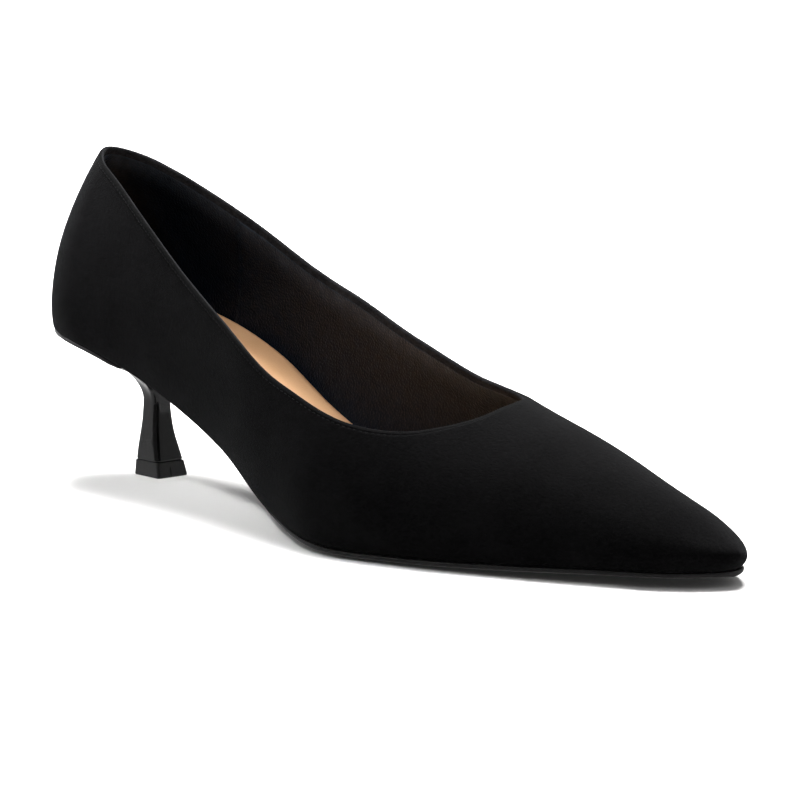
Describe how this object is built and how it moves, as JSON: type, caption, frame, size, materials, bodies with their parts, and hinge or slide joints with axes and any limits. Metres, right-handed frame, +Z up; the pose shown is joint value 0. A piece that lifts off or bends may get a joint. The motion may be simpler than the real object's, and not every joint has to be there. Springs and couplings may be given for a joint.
{
  "type": "kitten heel pump",
  "caption": "Pointed-toe pump for the right foot, a hollow upper on a thin sole with a low flared heel, open at the collar and throat.",
  "frame": {"origin": "on the floor, under the middle of the shoe's bounding box", "axes": "+X from the heel to the toe, +Y to the medial side, +Z up"},
  "size_m": [0.252, 0.0802, 0.0954],
  "materials": {
    "upper_suede": "black microsuede, matt nap",
    "insole_sock": "smooth tan sock",
    "outsole": "thin black sole, slight sheen",
    "heel_lacquer": "high gloss black lacquer",
    "top_piece": "satin black"
  },
  "bodies": {
    "root": {"upper": "upper_suede", "insole": "insole_sock", "outsole": "outsole", "heel": "heel_lacquer", "top_piece": "top_piece"}
  },
  "joints": []
}
